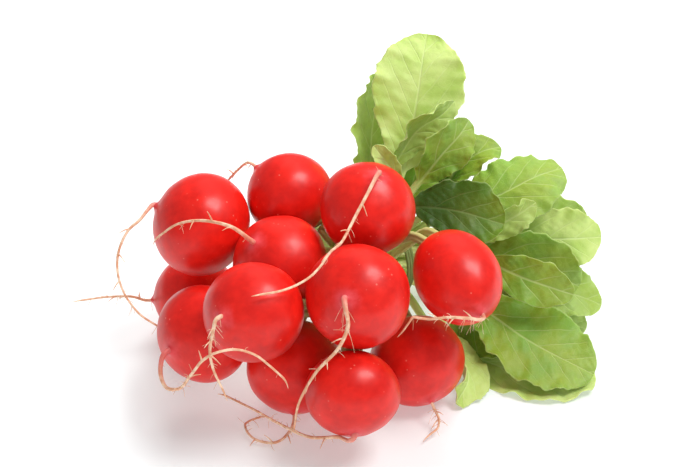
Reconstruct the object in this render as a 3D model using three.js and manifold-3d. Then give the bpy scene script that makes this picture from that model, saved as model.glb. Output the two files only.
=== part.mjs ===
// A tied bunch of twelve red radishes, lying on its side with the tap roots towards the viewer.
// Lengths are in millimetres. The plants are placed in the plane that the viewer looks at:
// x to the right, y up the picture, z towards the viewer. The last lines lay that plane down,
// so that the finished bunch has Z up and stands on Z = 0.
import * as THREE from 'three';
import { mergeVertices } from 'three/addons/utils/BufferGeometryUtils.js';
import Module from 'manifold-3d';

const wasm = await Module();
wasm.setup();

// Driving dimensions
const lookDown = 30;            // degrees above the table from which the bunch is seen
const tableHeight = -54.5;      // the table, measured along the vertical from the picture's middle
const flatSpot = 0.9;           // how far a resting radish is pressed flat
const tableGap = 0.4;           // clear space under what lies just above the table
const leastHeight = 1;          // clear space under a radish that others carry
const skinGap = 0.6;            // clear space between two radishes
const bulbSides = 14;
const bulbRings = 9;
const rootSides = 4;
const rootSteps = 13;
const smallest = 0.02;          // edges shorter than this are closed up after a join
const rootTip = 0.32;           // radius at a tap root's far end
const rootFlare = 0.8;          // and how much is added where it leaves the radish
const spurSteps = [4, 6, 8];    // where a tap root has side roots
const spurLength = 4;
const spurTurn = 2.4;           // radians round the tap root from one side root to the next
const spurRadii = [0.5, 0.42, 0.3];
const stalkFoot = 1.75;         // a leaf stalk's radius at the crown
const stalkTop = 1.25;          // and where the blade begins
const stalkGap = 0.7;           // clear space between two stalks
const stalkPitch = 3.7;         // from one stalk to the next, where they are tied
const crownSpread = 1.9;        // from the middle of a crown to a leaf's foot
const collarFoot = 3.3;         // radii of the collar that the stalks of a radish grow from
const collarTop = 2.4;
const collarHigh = 2.2;
const collarGap = 0.4;          // clear space between the collar and the red skin
const bladeThick = 0.7;
const bladeGap = 1.0;           // clear space between two blades
const ribDepth = 0.9;           // how far the rib stands out beneath a blade's foot
const edgeWave = 0.07;          // an edge's waves and teeth, as a share of the blade's half width
const toothed = 0.02;
const stalkSteps = 7;
const bladeSteps = 11;
const skinToStalk = 0.5;        // clear space between a radish and a stalk, a blade or a tap root
const skinToBlade = 0.8;
const skinToRoot = 0.9;
const easeRounds = 150;         // how often the leaves are eased apart, and the most that one round moves
const mostAside = 1.5;
const mostAhead = 2;
const evenOut = 0.3;            // how far each round evens out a sheet's moves, and in its last rounds
const evenLast = 0.02;
const lastRounds = 0.2;         // share of the rounds that are last ones
const nearBy = 4.3;             // how close, as seen, two leaves' check points are compared
const bandWidth = 3.4;
const bandThick = 1.1;
const bandSoft = 0.3;           // its edges are broken by this much
const bundleRadius = 15;        // stalks further out than this don't pass through the band

// Where the stalks are tied: the middle of the band, and the way the stalks run through it.
const neck = { at: [9.5, -7, -36], along: [0.73, 0.3, -0.61] };

// Each plant: the middle of its radish, its girth and its length from crown to tip, the way the tip
// points, and the points that its tap root passes, beyond the tip. A plant that rests touches the table.
const plants = [
  { name: '01', at: [-48, 3, -19], girth: 34, length: 31, tip: [-0.92, 0.37, 0.1], thick: 0.55,
    root: [[-66, 6.5, -15], [-72, 0.5, -13], [-75, -8, -12], [-73.5, -17.5, -11], [-68, -26, -13],
      [-61, -31, -17]] },
  { name: '02', at: [-20.5, 12.5, -26], girth: 28.5, length: 28, tip: [-0.75, 0.62, 0], thick: 0.5,
    root: [[-34, 23.5, -27], [-39, 20, -34], [-44, 15, -42]] },
  { name: '03', at: [5.7, 8, -3], girth: 30.5, length: 29, tip: [0.2, 0.66, 0.72], thick: 0.62,
    root: [[5, 11.5, 16], [1, 4, 19], [-2.7, -3, 24], [-6.9, -8, 28], [-12.7, -13.5, 32],
      [-19, -16.5, 35], [-25, -17.7, 37]] },
  { name: '04', at: [-23, -9.5, -5], girth: 31, length: 29, tip: [-0.52, 0.44, 0.75], thick: 0.7,
    root: [[-36.5, 2, 11], [-46, 4, 7], [-54, 3, 2], [-61, -1, -5]] },
  { name: '05', at: [-28, -23.2, 20], girth: 30.5, length: 31, tip: [-0.55, -0.06, 0.83], thick: 0.7,
    root: [[-40.4, -29.5, 35], [-41.3, -34.4, 34], [-40.4, -40.3, 32], [-38, -46, 30]] },
  { name: '06', at: [1.4, -20, 20], girth: 32, length: 31, tip: [-0.24, -0.03, 0.97], thick: 0.7,
    root: [[-0.5, -26, 38], [-3, -33, 37], [-10, -41, 33], [-15, -50, 28], [-17, -59, 17]] },
  { name: '07', at: [33.4, -13.8, 8], girth: 26.5, length: 34, tip: [0.36, -0.62, 0.7], thick: 0.62,
    root: [[35.5, -25.5, 24], [29.9, -25.2, 24], [24.2, -25.8, 23], [17.8, -25.6, 20], [15.6, -28, 18]] },
  { name: '08', at: [21.5, -41.5, -9.5], girth: 31, length: 28.5, tip: [0.3, -0.84, 0.48], thick: 0.6,
    rests: true, root: [[28, -58.5, 0.5], [27.5, -61, 2.5], [25.5, -62.5, 4]] },
  { name: '09', at: [0.8, -48, 20], girth: 29, length: 25.5, tip: [0.02, -0.88, 0.47], thick: 0.65,
    root: [[-3, -61.5, 22], [-12, -62, 18], [-21, -59, 12], [-30, -55, 5], [-39, -51.5, -2]] },
  { name: '10', at: [-18, -42.8, -6], girth: 31, length: 30, tip: [0, -0.9, 0.42], thick: 0.55,
    rests: true, root: [[-19, -62, 4], [-23, -65, 7], [-30, -64, 5.5], [-33, -60, -1], [-29, -58.5, -4]] },
  { name: '11', at: [-46.4, -32.2, -5], girth: 31.5, length: 28, tip: [-0.67, -0.33, 0.66], thick: 0.66,
    root: [[-59, -42, 7], [-57.5, -47, 10], [-52.5, -47.5, 16], [-46.5, -41, 30], [-40.5, -35.3, 38.5],
      [-31, -34, 39], [-23.5, -39, 35], [-20, -42.5, 32]] },
  { name: '12', at: [-53, -20.5, -44.5], girth: 28.5, length: 28.5, tip: [-0.99, -0.08, 0.05], thick: 0.55,
    rests: true, root: [[-74, -21.5, -41], [-82, -21.5, -40], [-90, -22.5, -39]] },
];

// Each leaf: its plant, the points at its blade's foot, middle and tip, and the blade's width. roll turns
// the blade about its rib, cup folds it and curl bends its tip over. A whole leaf has no teeth. Leaves
// are listed from the furthest to the nearest.
const leaves = [
  ['12', [12, -13, -66], [0, -13, -80], [-16, -10, -93], 24, -15, 0.2, 0],
  ['11', [20, -15, -66], [18, -10, -84], [13, -3, -102], 26, 8, 0.2, 0],
  ['12', [28, -15, -66], [35, -12, -82], [40, -8, -98], 26, -10, 0.15, 0],
  ['11', [36, -18, -60], [50, -20, -70], [64, -18, -82], 26, -15, 0.2, 0],
  ['02', [16, 10, -56], [26, 20, -58], [38, 30, -62], 24, -10, 0.2, 0],
  ['02', [8, 10, -58], [7.5, 33, -58], [11, 56, -58], 18, 35, 0.25, 2],
  ['04', [42, -2, -54], [64, 3, -58], [84, 5, -60], 19, 10, 0.2, 3],
  ['10', [40, -20, -48], [62, -28, -44], [81, -34.5, -44], 18, 10, 0.25, 4],
  ['08', [26, 4, -48], [42, 1, -49], [60, -8, -51], 26, 5, 0.2, 0],
  ['10', [44, -12, -44], [66, -18, -41], [86, -23, -40], 19, -20, 0.25, 5],
  ['03', [18, 20, -48], [22.5, 43, -47], [26.5, 70, -50], 31, -4, 0.12, 6],
  ['08', [30, -34, -36], [55, -46.3, -21.5], [80.5, -48, -16.5], 27, -52, 0.1, 0],
  ['07', [47, -3, -43], [66, -2, -40], [86, -1.5, -42], 21, 8, 0.2, 3],
  ['06', [27, 5, -42], [49, 12.5, -40], [72, 24.5, -43], 27, -33, -0.15, 5],
  ['09', [40, -8, -37], [58, -9, -34], [77, -18, -34], 22, 12, 0.2, 2],
  ['04', [17, 21, -42], [23.5, 35, -39], [36.5, 42, -38], 13, 40, 0.5, 6],
  ['05', [29, 15, -39], [39, 24.5, -36], [50, 31, -36], 16, -38, 0.35, 4],
  ['03', [23, 15, -37], [31.5, 27, -33], [41, 37, -32], 15, 18, 0.4, 6],
  ['01', [34, -20, -42], [42, -31, -38], [51, -40, -32], 20, -20, 0.2, 0],
  ['09', [39, -21, -32], [58.5, -35, -24], [79.5, -46, -20], 28, -26, 0.12, 0],
  ['05', [40, -2, -32], [52, 4, -30], [62, 10, -29], 10, 25, 0.4, 1],
  ['01', [20, 7, -32], [34, 7.5, -31], [51, 3, -33], 22, -22, 0.15, 0],
  ['06', [31, -32, -40], [36, -46, -25], [31, -55.5, -12], 16, -30, 0.2, 0],
  ['02', [15, 18, -41], [12, 24, -37], [8, 29.5, -35], 7, 0, 0.5, 0],
  ['07', [43, -9, -27], [58, -15, -21], [73, -20, -19], 15, 5, 0.25, 0, true],
].map(([plant, foot, middle, tip, width, roll, cup, curl, whole = false]) => (
  { plant, foot, middle, tip, width, roll, cup, curl, whole }));

// Vectors and paths
const vec = (a) => new THREE.Vector3(a[0], a[1], a[2]);
const down = THREE.MathUtils.degToRad(lookDown);
const up = new THREE.Vector3(0, Math.cos(down), Math.sin(down));
const toViewer = new THREE.Vector3(0, 0, 1);
const smooth = (t) => t * t * (3 - 2 * t);
const ramp = (v, from, to) => smooth(THREE.MathUtils.clamp((v - from) / (to - from), 0, 1));

// Even steps along a smooth path, between two shares of its length.
function stations(path, steps, from = 0, to = 1) {
  const curve = new THREE.CatmullRomCurve3(path, false, 'centripetal');
  const fine = 240;
  const points = Array.from({ length: fine + 1 }, (_, i) => curve.getPoint(i / fine));
  const lengths = [0];
  for (let i = 1; i <= fine; i++) lengths.push(lengths[i - 1] + points[i].distanceTo(points[i - 1]));
  const low = lengths[Math.round(from * fine)];
  const high = lengths[Math.round(to * fine)];
  return Array.from({ length: steps + 1 }, (_, k) => {
    const wanted = low + ((high - low) * k) / steps;
    let i = 1;
    while (i < fine && lengths[i] < wanted) i++;
    const share = (wanted - lengths[i - 1]) / (lengths[i] - lengths[i - 1]);
    return points[i - 1].clone().lerp(points[i], share);
  });
}

function tangents(points) {
  const last = points.length - 1;
  const way = (i) => points[Math.min(i + 1, last)].clone().sub(points[Math.max(i - 1, 0)]);
  return points.map((_, i) => way(i).normalize());
}

// Radishes: nearly ellipsoids, fuller at the crown and more pointed at the tip.
const bulbs = plants.map((plant) => ({ ...plant, at: vec(plant.at), axis: vec(plant.tip).normalize() }));

// Distance from a radish's middle to its skin, in one direction.
function reach(bulb, direction) {
  const along = direction.dot(bulb.axis);
  return 1 / Math.sqrt(along ** 2 / (bulb.length / 2) ** 2 + (1 - along ** 2) / (bulb.girth / 2) ** 2);
}

// The radishes are eased apart until each pair is clear, and those that rest come down to the table.
function easeApart() {
  for (let round = 0; round < 400; round++) {
    const moves = bulbs.map(() => new THREE.Vector3());
    bulbs.forEach((a, i) => {
      bulbs.slice(i + 1).forEach((b, j) => {
        const between = b.at.clone().sub(a.at);
        const apart = between.length();
        between.normalize();
        const short = reach(a, between) + reach(b, between) + skinGap - apart;
        if (short <= 0) return;
        moves[i].addScaledVector(between, -short / 3);
        moves[i + 1 + j].addScaledVector(between, short / 3);
      });
      const height = a.at.dot(up) - reach(a, up) - tableHeight;
      if (a.rests || height < leastHeight) {
        moves[i].addScaledVector(up, ((a.rests ? -flatSpot : leastHeight) - height) / 2);
      }
    });
    bulbs.forEach((bulb, i) => bulb.at.add(moves[i]));
  }
}

// Moves a point of something with a given half thickness straight out of any radish that it is in,
// and off the table.
function clearOfBulbs(point, size, gap, skip) {
  bulbs.forEach((bulb) => {
    if (bulb.name === skip) return;
    const out = point.clone().sub(bulb.at);
    const apart = out.length();
    const wanted = reach(bulb, out.normalize()) + size + gap;
    if (apart < wanted) point.copy(bulb.at).addScaledVector(out, wanted);
  });
  const low = tableHeight + size + tableGap - point.dot(up);
  if (low > 0) point.addScaledVector(up, low);
  return point;
}

// Solids
function solidOf(geometry) {
  const bare = geometry.clone();
  bare.deleteAttribute('normal');
  bare.deleteAttribute('uv');
  const merged = mergeVertices(bare, 1e-4);
  return new wasm.Manifold(new wasm.Mesh({
    numProp: 3,
    vertProperties: merged.attributes.position.array,
    triVerts: new Uint32Array(merged.index.array),
  }));
}

function geometryOf(solid) {
  const mesh = solid.simplify(smallest).getMesh();
  const geometry = new THREE.BufferGeometry();
  geometry.setAttribute('position', new THREE.BufferAttribute(mesh.vertProperties, 3));
  geometry.setIndex(new THREE.BufferAttribute(mesh.triVerts, 1));
  geometry.computeVertexNormals();
  return geometry;
}

// A rod of changing thickness, bent along its stations.
function rod(points, radii, sides) {
  const steps = points.length - 1;
  const geometry = new THREE.CylinderGeometry(1, 1, 1, sides, steps);
  const ways = tangents(points);
  const place = geometry.attributes.position;
  const across = ways[0].clone().cross(Math.abs(ways[0].z) < 0.9 ? toViewer : up).normalize();
  const frames = ways.map((way) => {
    across.addScaledVector(way, -across.dot(way)).normalize();
    return [across.clone(), way.clone().cross(across)];
  });
  for (let i = 0; i < place.count; i++) {
    const k = Math.round((0.5 - place.getY(i)) * steps);
    const [side, other] = frames[k];
    const p = points[k].clone()
      .addScaledVector(side, place.getX(i) * radii[k])
      .addScaledVector(other, place.getZ(i) * radii[k]);
    place.setXYZ(i, p.x, p.y, p.z);
  }
  return geometry;
}

function bulbGeometry(bulb) {
  const geometry = new THREE.SphereGeometry(1, bulbSides, bulbRings);
  const place = geometry.attributes.position;
  const turn = new THREE.Quaternion().setFromUnitVectors(new THREE.Vector3(0, -1, 0), bulb.axis);
  for (let i = 0; i < place.count; i++) {
    const p = new THREE.Vector3().fromBufferAttribute(place, i);
    const ring = Math.hypot(p.x, p.z);
    const fuller = p.y > 0 ? ring ** 0.9 : ring ** 1.08;
    const swell = ring > 1e-6 ? fuller / ring : 1;
    p.set((p.x * swell * bulb.girth) / 2, (p.y * bulb.length) / 2, (p.z * swell * bulb.girth) / 2);
    p.applyQuaternion(turn).add(bulb.at);
    place.setXYZ(i, p.x, p.y, p.z);
  }
  return geometry;
}

// A tap root: it leaves the tip in a short flare, and lies on whatever radish it meets.
function rootPath(bulb) {
  const tip = bulb.at.clone().addScaledVector(bulb.axis, bulb.length / 2);
  const inside = tip.clone().addScaledVector(bulb.axis, -3.5);
  const beyond = tip.clone().addScaledVector(bulb.axis, 2.5);
  const points = stations([inside, beyond, ...bulb.root.map(vec)], rootSteps);
  const own = (k) => (k < 4 ? bulb.name : '');
  return points.map((p, k) => (k < 2 ? p : clearOfBulbs(p, bulb.thick, skinToRoot, own(k))));
}

function rootRadius(bulb, k) {
  const far = k / rootSteps;
  const flare = rootFlare * Math.exp(-((far * 12) ** 1.2));
  return bulb.thick + flare + (rootTip - bulb.thick) * far ** 0.8;
}

function radish(bulb) {
  const points = rootPath(bulb);
  const radii = points.map((_, k) => rootRadius(bulb, k));
  let solid = solidOf(bulbGeometry(bulb)).add(solidOf(rod(points, radii, rootSides)));
  const ways = tangents(points);
  spurSteps.forEach((k, i) => {
    const side = ways[k].clone().cross(toViewer).normalize();
    side.applyAxisAngle(ways[k], i * spurTurn + Number(bulb.name));
    const grown = side.addScaledVector(ways[k], 0.8).normalize();
    if (grown.z < -0.2) grown.z *= -1;
    const spur = spurRadii.map((_, n) => points[k].clone().addScaledVector(grown, (n * spurLength) / 2));
    const isClear = (p) => clearOfBulbs(p.clone(), spurRadii[0], 0.4, '').distanceTo(p) < 1e-6;
    if (spur.slice(1).every(isClear)) solid = solid.add(solidOf(rod(spur, spurRadii, 3)));
  });
  return geometryOf(solid.subtract(solidOf(tableBlock())));
}

// What lies under the table's surface: it presses a small flat spot on a radish that rests there.
function tableBlock() {
  const block = new THREE.BoxGeometry(300, 20, 300);
  block.translate(0, -10, 0);
  block.applyQuaternion(new THREE.Quaternion().setFromUnitVectors(new THREE.Vector3(0, 1, 0), up));
  block.translate(...up.clone().multiplyScalar(tableHeight).toArray());
  return block;
}

// Leaves. A leaf's sheet is a grid of points: along the rib by row, and across it by five places.
const places = 5;
const rows = stalkSteps + bladeSteps + 1;
const stalkAcross = [-0.95, -0.59, 0, 0.59, 0.95];
const stalkHigh = [0.31, 0.81, 1, 0.81, 0.31];
const bladeAcross = [-1, -0.52, 0, 0.52, 1];
const neckAt = vec(neck.at);
const neckAlong = vec(neck.along).normalize();
const neckRight = neckAlong.clone().cross(new THREE.Vector3(0, 1, 0)).normalize();
const neckUp = neckRight.clone().cross(neckAlong);
const bulbOf = (leaf) => bulbs.find((bulb) => bulb.name === leaf.plant);
const crownOf = (bulb) => bulb.at.clone().addScaledVector(bulb.axis, -bulb.length / 2);
const stalkSize = (row) => stalkFoot + (stalkTop - stalkFoot) * Math.min(1, row / stalkSteps);

// Where each stalk passes the band: the nearest free place in a honeycomb, on the side of the bundle
// that its radish and its blade lie on.
function honeycomb() {
  const cells = [];
  for (let i = -4; i <= 4; i++) {
    for (let j = -4; j <= 4; j++) cells.push([(i + j / 2) * stalkPitch, j * stalkPitch * Math.sqrt(0.75)]);
  }
  const ring = (cell) => Math.round(Math.hypot(...cell) * 1000);
  cells.sort((a, b) => ring(a) - ring(b) || a[0] - b[0] || a[1] - b[1]);
  const chosen = cells.slice(0, leaves.length);
  const wanted = leaves.map((leaf) => {
    const from = crownOf(bulbOf(leaf)).sub(neckAt).multiplyScalar(0.12);
    const pull = vec(leaf.foot).sub(neckAt).multiplyScalar(0.25).add(from);
    return [pull.dot(neckRight), pull.dot(neckUp)];
  });
  const cost = (a, b) => (a[0] - b[0]) ** 2 + (a[1] - b[1]) ** 2;
  for (let round = 0; round < 40; round++) {
    for (let i = 0; i < chosen.length; i++) {
      for (let j = i + 1; j < chosen.length; j++) {
        const now = cost(chosen[i], wanted[i]) + cost(chosen[j], wanted[j]);
        const swapped = cost(chosen[j], wanted[i]) + cost(chosen[i], wanted[j]);
        if (swapped < now - 1e-9) [chosen[i], chosen[j]] = [chosen[j], chosen[i]];
      }
    }
  }
  return chosen;
}

// Half the blade's width at a share of its length: narrow at the foot, broad and round at the tip,
// with a toothed edge unless the leaf is whole.
function bladeHalf(leaf, share, row) {
  const outline = Math.sin(Math.PI * share ** 1.05) ** 0.55 * (0.69 + 0.56 * share);
  const tooth = 1 + (leaf.whole ? 0 : toothed) * (row % 2 ? 1 : -1);
  return (leaf.width / 2) * outline * tooth;
}

function leafSheet(leaf, order, slot) {
  const bulb = bulbOf(leaf);
  const mates = leaves.filter((l) => l.plant === leaf.plant);
  const turn = (mates.indexOf(leaf) / mates.length) * 2 * Math.PI + 0.6;
  const side = bulb.axis.clone().cross(up).normalize().applyAxisAngle(bulb.axis, turn);
  const away = bulb.axis.clone().negate();
  const crown = crownOf(bulb).addScaledVector(away, 1).addScaledVector(side, crownSpread);
  const tied = neckAt.clone().addScaledVector(neckRight, slot[0]).addScaledVector(neckUp, slot[1]);
  const path = [
    crown,
    crown.clone().addScaledVector(away, 5),
    tied.clone().addScaledVector(neckAlong, -5),
    tied.clone().addScaledVector(neckAlong, 5),
    vec(leaf.foot), vec(leaf.middle), vec(leaf.tip),
  ];
  const stalk = stations(path, stalkSteps, 0, 4 / 6);
  const blade = stations(path, bladeSteps, 4 / 6, 1);
  const rib = [...stalk, ...blade.slice(1)];
  const ways = tangents(rib);
  const roll = THREE.MathUtils.degToRad(leaf.roll);
  const grid = rib.map((p, row) => {
    const share = Math.max(0, (row - stalkSteps) / bladeSteps);
    const open = ramp(row, stalkSteps - 1.5, stalkSteps + 1.5);
    const face = toViewer.clone().addScaledVector(ways[row], -ways[row].z).normalize();
    const normal = face.applyAxisAngle(ways[row], roll * open);
    const across = ways[row].clone().cross(normal);
    const wide = Math.max(bladeHalf(leaf, share, row), stalkTop * (1 - share));
    const half = wide * open + stalkSize(row) * (1 - open);
    const bent = leaf.curl * ramp(share, 0.6, 1.1) ** 2;
    return Array.from({ length: places }, (_, i) => {
      const u = stalkAcross[i] * (1 - open) + bladeAcross[i] * open;
      const wave = edgeWave * half * Math.sin(share * 15 + order * 2.1) * u * Math.abs(u);
      return p.clone()
        .addScaledVector(across, u * half)
        .addScaledVector(normal, leaf.cup * half * u * u * open + wave - bent);
    });
  });
  return { ...leaf, order, grid };
}

// Check points on a sheet, each with its share of the grid's points: five on each step of the stalk,
// and on the blade every grid point and the middles between them.
function checkPoints() {
  const points = [];
  for (let row = 0; row < stalkSteps; row++) {
    for (let part = 0; part < 5; part++) {
      const of = [[row, 2, 1 - part / 5], [row + 1, 2, part / 5]];
      points.push({ stalk: true, row, size: stalkSize(row), of });
    }
  }
  for (let a = 0; a <= 2 * bladeSteps; a++) {
    for (let b = 0; b < 2 * places - 1; b++) {
      const [row, i] = [stalkSteps + (a >> 1), b >> 1];
      const of = [];
      for (let m = 0; m <= a % 2; m++) {
        for (let n = 0; n <= b % 2; n++) of.push([row + m, i + n, 1 / ((1 + (a % 2)) * (1 + (b % 2)))]);
      }
      points.push({ stalk: false, row, size: bladeThick / 2 + 0.1, of });
    }
  }
  return points;
}

// Pairs of check points on different leaves that the viewer sees close together, the further one first.
function nearPairs(spots, sheets) {
  const key = (x, y) => Math.floor(x / nearBy + 500) * 1000 + Math.floor(y / nearBy + 500);
  const cells = new Map();
  spots.forEach((list, s) => list.forEach((spot) => {
    const k = key(spot.at.x, spot.at.y);
    if (!cells.has(k)) cells.set(k, []);
    cells.get(k).push([s, spot]);
  }));
  const pairs = [];
  spots.forEach((list, s) => list.forEach((p) => {
    for (let m = -1; m <= 1; m++) {
      for (let n = -1; n <= 1; n++) {
        (cells.get(key(p.at.x + m * nearBy, p.at.y + n * nearBy)) || []).forEach(([t, q]) => {
          const joined = sheets[s].plant === sheets[t].plant && (p.check.row < 1 || q.check.row < 1);
          if (t > s && !joined) pairs.push([p, q]);
        });
      }
    }
  }));
  return pairs;
}

// Two stalks are pushed apart by their thickness in any direction, a blade and what is behind or before
// it along the line of sight.
function keepApart(p, q) {
  const between = q.at.clone().sub(p.at);
  if (p.check.stalk && q.check.stalk) {
    const apart = between.length();
    const short = p.check.size + q.check.size + stalkGap - apart;
    if (short <= 0) return;
    p.push.addScaledVector(between, -short / apart / 2);
    q.push.addScaledVector(between, short / apart / 2);
    return;
  }
  const sideways = p.check.stalk || q.check.stalk ? p.check.size + q.check.size + 0.6 : 3;
  if (Math.hypot(between.x, between.y) > sideways) return;
  const [sx, sy] = [(p.slope[0] + q.slope[0]) / 2, (p.slope[1] + q.slope[1]) / 2];
  const gap = (p.check.size + q.check.size + bladeGap) * Math.hypot(1, sx, sy);
  const short = gap - (between.z - sx * between.x - sy * between.y);
  p.behind = Math.max(p.behind, short / 2);
  q.ahead = Math.max(q.ahead, short / 2);
}

// Leaves are eased apart, so that each stays nearer the viewer than those listed before it, and off the
// radishes and the table. Each sheet's moves are evened out, so that it stays smooth.
function easeLeaves(sheets) {
  const checks = checkPoints();
  const moved = sheets.map((sheet) => sheet.grid.map((row) => row.map(() => new THREE.Vector3())));
  for (let round = 0; round < easeRounds; round++) {
    const spots = sheets.map((sheet, s) => {
      const now = sheet.grid.map((row, r) => row.map((p, i) => p.clone().add(moved[s][r][i])));
      const slopes = now.map((row, r) => {
        const along = now[Math.min(r + 1, rows - 1)][2].clone().sub(now[Math.max(r - 1, 0)][2]);
        return row.map((_, i) => {
          const normal = row[Math.min(i + 1, 4)].clone().sub(row[Math.max(i - 1, 0)]).cross(along);
          const steep = Math.max(Math.abs(normal.z), 0.5 * normal.length()) * (Math.sign(normal.z) || 1);
          return [-normal.x / steep, -normal.y / steep];
        });
      });
      return checks.map((check) => {
        const at = new THREE.Vector3();
        const slope = [0, 0];
        check.of.forEach(([r, i, share]) => {
          at.addScaledVector(now[r][i], share);
          if (check.stalk) return;
          slope[0] += slopes[r][i][0] * share;
          slope[1] += slopes[r][i][1] * share;
        });
        return { check, at, slope, push: new THREE.Vector3(), ahead: 0, behind: 0 };
      });
    });
    nearPairs(spots, sheets).forEach(([p, q]) => keepApart(p, q));
    const even = round > easeRounds * (1 - lastRounds) ? evenLast : evenOut;
    spots.forEach((list, s) => {
      const sum = sheets[s].grid.map((row) => row.map(() => new THREE.Vector3()));
      const count = sheets[s].grid.map((row) => row.map(() => 0.05));
      list.forEach((spot) => {
        spot.push.clampLength(0, mostAside);
        spot.push.z += THREE.MathUtils.clamp(spot.ahead - spot.behind, -mostAhead, mostAhead);
        const target = spot.at.clone().add(spot.push);
        const gap = spot.check.stalk ? skinToStalk : skinToBlade;
        clearOfBulbs(target, spot.check.size, gap, spot.check.row < 1 ? sheets[s].plant : '');
        target.sub(spot.at);
        if (target.lengthSq() < 1e-12) return;
        spot.check.of.forEach(([r, i, share]) => {
          sum[r][i].addScaledVector(target, share);
          count[r][i] += share;
        });
      });
      const move = moved[s];
      sum.forEach((row, r) => {
        if (r === 0) return;
        if (r <= stalkSteps) {
          const all = row.reduce((v, w) => v.add(w), new THREE.Vector3());
          all.divideScalar(count[r].reduce((v, w) => v + w));
          move[r].forEach((m) => m.add(all));
        } else row.forEach((v, i) => move[r][i].add(v.divideScalar(count[r][i])));
      });
      const before = move.map((row) => row.map((m) => m.clone()));
      move.forEach((row, r) => row.forEach((m, i) => {
        if (r === 0) return;
        const mean = before[r - 1][i].clone().add(before[Math.min(r + 1, rows - 1)][i]);
        if (r > stalkSteps) {
          mean.add(before[r][Math.max(i - 1, 0)]);
          mean.add(before[r][Math.min(i + 1, places - 1)]);
        }
        m.lerp(mean.divideScalar(r > stalkSteps ? 4 : 2), even);
      }));
    });
  }
  sheets.forEach((sheet, s) => {
    sheet.grid.forEach((row, r) => row.forEach((p, i) => p.add(moved[s][r][i])));
  });
}

// The closed solid of one leaf: its sheet with a thickness, round along the stalk and thin in the blade.
function leafGeometry(sheet) {
  const { grid } = sheet;
  const ribs = grid.map((row) => row[2]);
  const ways = tangents(ribs);
  const points = [];
  grid.forEach((row, k) => {
    const open = ramp(k, stalkSteps - 1.5, stalkSteps + 1.5);
    const share = Math.max(0, (k - stalkSteps) / bladeSteps);
    const stem = stalkSize(k);
    const normals = row.map((p, i) => {
      const across = row[Math.min(i + 1, 4)].clone().sub(row[Math.max(i - 1, 0)]);
      return across.cross(ways[k]).normalize();
    });
    const high = row.map((_, i) => stem * stalkHigh[i] * (1 - open) + (bladeThick / 2) * open);
    const keel = row.map((_, i) => (i === 2 ? ribDepth * open * (1 - share) : 0));
    row.forEach((p, i) => points.push(p.clone().addScaledVector(normals[i], high[i])));
    [4, 3, 2, 1, 0].forEach((i) => {
      points.push(row[i].clone().addScaledVector(normals[i], -high[i] - keel[i]));
    });
  });
  const ring = 2 * places;
  const index = [];
  const quad = (a, b, c, d, flip) => (flip
    ? index.push(a, b, d, b, c, d)
    : index.push(a, b, c, a, c, d));
  for (let k = 0; k < rows - 1; k++) {
    for (let j = 0; j < ring; j++) {
      const n = (j + 1) % ring;
      quad(k * ring + j, k * ring + n, (k + 1) * ring + n, (k + 1) * ring + j, j >= places);
    }
  }
  const cap = (first, forward) => {
    for (let i = 0; i < places - 1; i++) {
      const [a, b, c, d] = [first + i, first + i + 1, first + ring - 2 - i, first + ring - 1 - i];
      if (forward) index.push(a, c, b, a, d, c);
      else index.push(a, b, c, a, c, d);
    }
  };
  cap(0, true);
  cap((rows - 1) * ring, false);
  const geometry = new THREE.BufferGeometry();
  geometry.setFromPoints(points);
  geometry.setIndex(index);
  geometry.computeVertexNormals();
  return geometry;
}

// The leaves of one radish grow together, from a short collar on its crown.
function leafCluster(bulb, sheets) {
  const collar = new THREE.CylinderGeometry(collarTop, collarFoot, collarHigh, 10);
  const away = bulb.axis.clone().negate();
  collar.applyQuaternion(new THREE.Quaternion().setFromUnitVectors(new THREE.Vector3(0, 1, 0), away));
  collar.translate(...crownOf(bulb).addScaledVector(away, collarGap + collarHigh / 2).toArray());
  const grown = sheets.filter((sheet) => sheet.plant === bulb.name).map(leafGeometry);
  return geometryOf(grown.reduce((solid, leaf) => solid.add(solidOf(leaf)), solidOf(collar)));
}

// The band fits round all the stalks where they pass it.
function bandGeometry(sheets) {
  let wide = 0;
  sheets.forEach((sheet) => sheet.grid.slice(0, stalkSteps + 1).forEach((row, k) => {
    const [here, next] = [row[2], sheet.grid[k + 1][2]].map((p) => p.clone().sub(neckAt));
    [0, 0.25, 0.5, 0.75].forEach((part) => {
      const spot = here.clone().lerp(next, part);
      const along = spot.dot(neckAlong);
      const out = spot.addScaledVector(neckAlong, -along).length();
      const inBand = Math.abs(along) < bandWidth / 2 + 1 && out < bundleRadius;
      if (inBand) wide = Math.max(wide, out + stalkSize(k) + skinToStalk);
    });
  }));
  const half = bandWidth / 2;
  const soft = bandSoft;
  const outer = wide + bandThick;
  const outline = [
    [wide, -half + soft], [wide + soft, -half], [outer - soft, -half], [outer, -half + soft],
    [outer, half - soft], [outer - soft, half], [wide + soft, half], [wide, half - soft],
  ];
  outline.push(outline[0]);
  const geometry = new THREE.LatheGeometry(outline.map((p) => new THREE.Vector2(...p)), 20);
  const turn = new THREE.Quaternion().setFromUnitVectors(new THREE.Vector3(0, 1, 0), neckAlong);
  geometry.applyQuaternion(turn);
  geometry.translate(...neck.at);
  return geometry;
}

// Materials
const skin = new THREE.MeshStandardMaterial({ color: '#c8191c', roughness: 0.3, metalness: 0 });
const foliage = new THREE.MeshStandardMaterial({ color: '#86a83c', roughness: 0.55, metalness: 0 });
const rubber = new THREE.MeshStandardMaterial({ color: '#7f9150', roughness: 0.6, metalness: 0 });

function piece(name, geometry, material) {
  const mesh = new THREE.Mesh(geometry, material);
  mesh.name = name;
  return mesh;
}

easeApart();
const slots = honeycomb();
const sheets = leaves.map((leaf, i) => leafSheet(leaf, i, slots[i]));
easeLeaves(sheets);

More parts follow.
